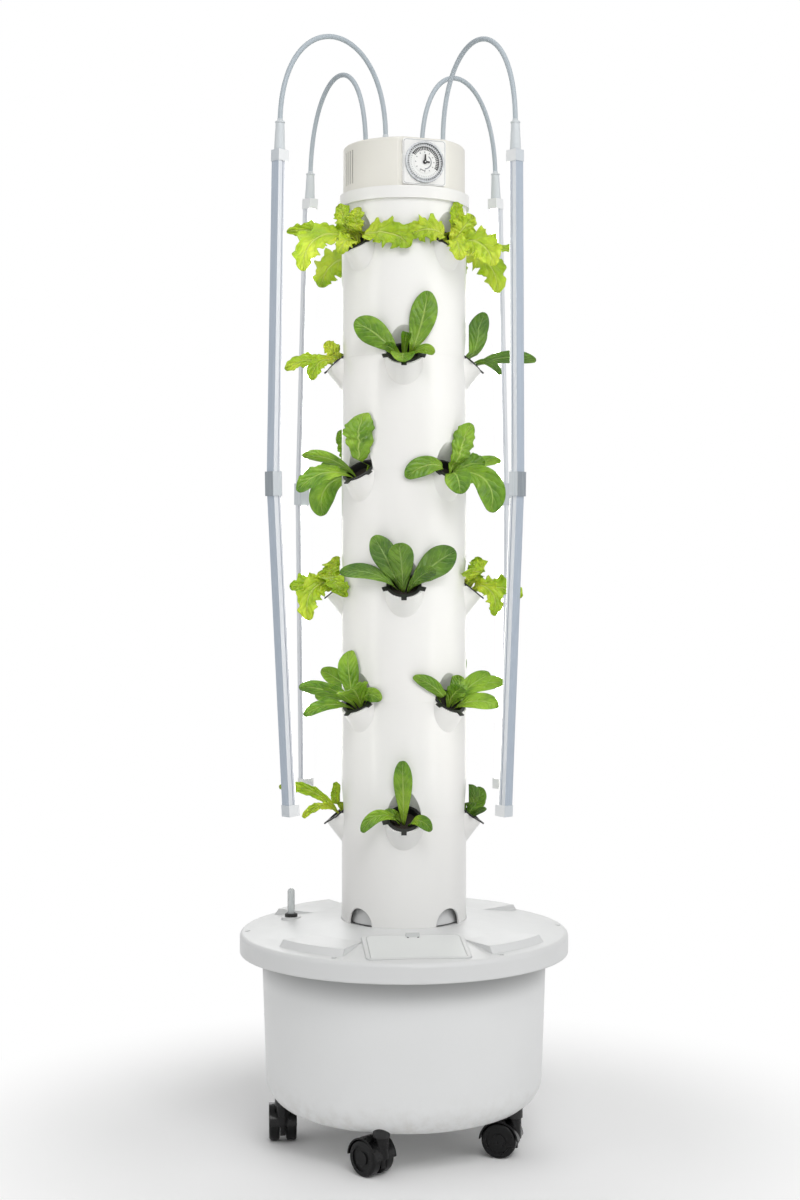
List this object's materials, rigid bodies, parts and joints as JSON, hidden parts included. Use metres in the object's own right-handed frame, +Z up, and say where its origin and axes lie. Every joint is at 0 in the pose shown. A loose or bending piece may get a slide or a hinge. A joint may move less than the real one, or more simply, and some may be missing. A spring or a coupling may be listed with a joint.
{
  "type": "hydroponic tower",
  "caption": "Vertical hydroponic planting tower on a wheeled reservoir, with net cups in stacked rings and a head that carries a timer and hanging grow lamps.",
  "frame": {"origin": "floor level under the tower's axis", "axes": "+Z up the tower, -Y to the front, where the timer and hatch are"},
  "size_m": [0.5, 0.5, 1.6525],
  "materials": {
    "white_plastic": "satin",
    "hatch_plastic": "satin",
    "tower_plastic": "gloss",
    "ivory_plastic": "satin",
    "black_plastic": "gloss",
    "black_rubber": "matte",
    "clear_plastic": "clear",
    "float_plastic": "gloss",
    "cup_plastic": "satin",
    "plug_foam": "matte",
    "leaf": "satin",
    "timer_plastic": "gloss",
    "dial_plastic": "satin",
    "driver_case": "matte",
    "pump_plastic": "satin",
    "clear_white": "gloss",
    "pipe_plastic": "satin",
    "caster_plastic": "gloss",
    "caster_tread": "satin",
    "arm_grey": "satin",
    "lamp_aluminium": "satin",
    "lamp_diffuser": "satin",
    "lamp_fitting": "satin"
  },
  "bodies": {
    "base": {"reservoir_tub": "white_plastic", "reservoir_lid": "white_plastic", "level_grommet": "black_rubber", "level_tube": "clear_plastic", "tower_foot": "tower_plastic", "tower_neck": "tower_plastic", "net_cups_lower": "cup_plastic", "net_cups_middle": "cup_plastic", "net_cups_upper": "cup_plastic", "grow_plugs": "plug_foam", "plants_lower": "leaf", "plants_middle": "leaf", "plants_upper": "leaf", "head_shell": "ivory_plastic", "timer_plate": "timer_plastic", "lamp_driver": "driver_case", "pump_body": "pump_plastic", "pump_strainer": "pump_plastic", "riser_pipe": "pipe_plastic", "spray_head": "pipe_plastic", "tower_ring_1": "tower_plastic", "tower_ring_2": "tower_plastic", "tower_ring_3": "tower_plastic", "tower_ring_4": "tower_plastic", "tower_ring_5": "tower_plastic"},
    "hatch": {"access_hatch": "hatch_plastic"},
    "gauge_float": {"level_float": "float_plastic"},
    "dial": {"timer_dial": "dial_plastic"},
    "hour_pointer": {"hour_hand": "black_plastic"},
    "minute_pointer": {"minute_hand": "black_plastic"},
    "impeller": {"pump_impeller": "clear_white"},
    "caster_1": {"caster_hood_1": "caster_plastic"},
    "wheels_1": {"caster_wheels_1": "caster_tread"},
    "caster_2": {"caster_hood_2": "caster_plastic"},
    "wheels_2": {"caster_wheels_2": "caster_tread"},
    "caster_3": {"caster_hood_3": "caster_plastic"},
    "wheels_3": {"caster_wheels_3": "caster_tread"},
    "caster_4": {"caster_hood_4": "caster_plastic"},
    "wheels_4": {"caster_wheels_4": "caster_tread"},
    "caster_5": {"caster_hood_5": "caster_plastic"},
    "wheels_5": {"caster_wheels_5": "caster_tread"},
    "lamp_1": {"lamp_arm_1": "arm_grey", "lamp_housing_1": "lamp_aluminium", "lamp_diffuser_1": "lamp_diffuser", "lamp_fittings_1": "lamp_fitting"},
    "lamp_2": {"lamp_arm_2": "arm_grey", "lamp_housing_2": "lamp_aluminium", "lamp_diffuser_2": "lamp_diffuser", "lamp_fittings_2": "lamp_fitting"},
    "lamp_3": {"lamp_arm_3": "arm_grey", "lamp_housing_3": "lamp_aluminium", "lamp_diffuser_3": "lamp_diffuser", "lamp_fittings_3": "lamp_fitting"},
    "lamp_4": {"lamp_arm_4": "arm_grey", "lamp_housing_4": "lamp_aluminium", "lamp_diffuser_4": "lamp_diffuser", "lamp_fittings_4": "lamp_fitting"}
  },
  "joints": [
    {"name": "hatch_hinge", "type": "hinge", "parent": "base", "child": "hatch", "pos_m": [0.02113, -0.2194, 0.32137], "axis": [0.9954, 0.0958, 0], "range_deg": [0, 100]},
    {"name": "float_slide", "type": "slide", "parent": "base", "child": "gauge_float", "axis": [0, 0, 1], "range_m": [0, 0.04]},
    {"name": "caster_swivel_1", "type": "hinge", "parent": "base", "child": "caster_1", "pos_m": [-0.03213, -0.18219, 0.058], "axis": [0, 0, 1], "continuous": true},
    {"name": "wheel_roll_1", "type": "hinge", "parent": "caster_1", "child": "wheels_1", "pos_m": [-0.04627, -0.16805, 0.026], "axis": [-0.7071, -0.7071, 0], "continuous": true},
    {"name": "caster_swivel_2", "type": "hinge", "parent": "base", "child": "caster_2", "pos_m": [0.16334, -0.08685, 0.058], "axis": [0, 0, 1], "continuous": true},
    {"name": "wheel_roll_2", "type": "hinge", "parent": "caster_2", "child": "wheels_2", "pos_m": [0.14403, -0.08168, 0.026], "axis": [-0.2588, -0.9659, 0], "continuous": true},
    {"name": "caster_swivel_3", "type": "hinge", "parent": "base", "child": "caster_3", "pos_m": [0.13308, 0.12851, 0.058], "axis": [0, 0, 1], "continuous": true},
    {"name": "wheel_roll_3", "type": "hinge", "parent": "caster_3", "child": "wheels_3", "pos_m": [0.11576, 0.13851, 0.026], "axis": [-0.5, -0.866, 0], "continuous": true},
    {"name": "caster_swivel_4", "type": "hinge", "parent": "base", "child": "caster_4", "pos_m": [-0.0811, 0.16628, 0.058], "axis": [0, 0, 1], "continuous": true},
    {"name": "wheel_roll_4", "type": "hinge", "parent": "caster_4", "child": "wheels_4", "pos_m": [-0.0911, 0.1836, 0.026], "axis": [-0.866, -0.5, 0], "continuous": true},
    {"name": "caster_swivel_5", "type": "hinge", "parent": "base", "child": "caster_5", "pos_m": [-0.1832, -0.02575, 0.058], "axis": [0, 0, 1], "continuous": true},
    {"name": "wheel_roll_5", "type": "hinge", "parent": "caster_5", "child": "wheels_5", "pos_m": [-0.18494, -0.00582, 0.026], "axis": [-0.9962, -0.0872, 0], "continuous": true},
    {"name": "dial_turn", "type": "hinge", "parent": "base", "child": "dial", "pos_m": [0.02859, -0.07856, 1.473], "axis": [0.342, -0.9397, 0], "continuous": true},
    {"name": "hour_turn", "type": "hinge", "parent": "base", "child": "hour_pointer", "pos_m": [0.02859, -0.07856, 1.473], "axis": [0.342, -0.9397, 0], "continuous": true},
    {"name": "minute_turn", "type": "hinge", "parent": "base", "child": "minute_pointer", "pos_m": [0.02859, -0.07856, 1.473], "axis": [0.342, -0.9397, 0], "continuous": true},
    {"name": "impeller_spin", "type": "hinge", "parent": "base", "child": "impeller", "pos_m": [0, -0.035, 0.096], "axis": [0, 1, 0], "continuous": true},
    {"name": "lamp_swing_1", "type": "hinge", "parent": "base", "child": "lamp_1", "pos_m": [-0.02747, -0.05891, 1.51], "axis": [0, 0, 1], "range_deg": [-25, 25]},
    {"name": "lamp_swing_2", "type": "hinge", "parent": "base", "child": "lamp_2", "pos_m": [0.05891, -0.02747, 1.51], "axis": [0, 0, 1], "range_deg": [-25, 25]},
    {"name": "lamp_swing_3", "type": "hinge", "parent": "base", "child": "lamp_3", "pos_m": [0.02747, 0.05891, 1.51], "axis": [0, 0, 1], "range_deg": [-25, 25]},
    {"name": "lamp_swing_4", "type": "hinge", "parent": "base", "child": "lamp_4", "pos_m": [-0.05891, 0.02747, 1.51], "axis": [0, 0, 1], "range_deg": [-25, 25]}
  ],
  "couplings": [
    {"joint": "hour_turn", "follows": "minute_turn", "ratio": 0.083333},
    {"joint": "dial_turn", "follows": "minute_turn", "ratio": 0.041667}
  ]
}
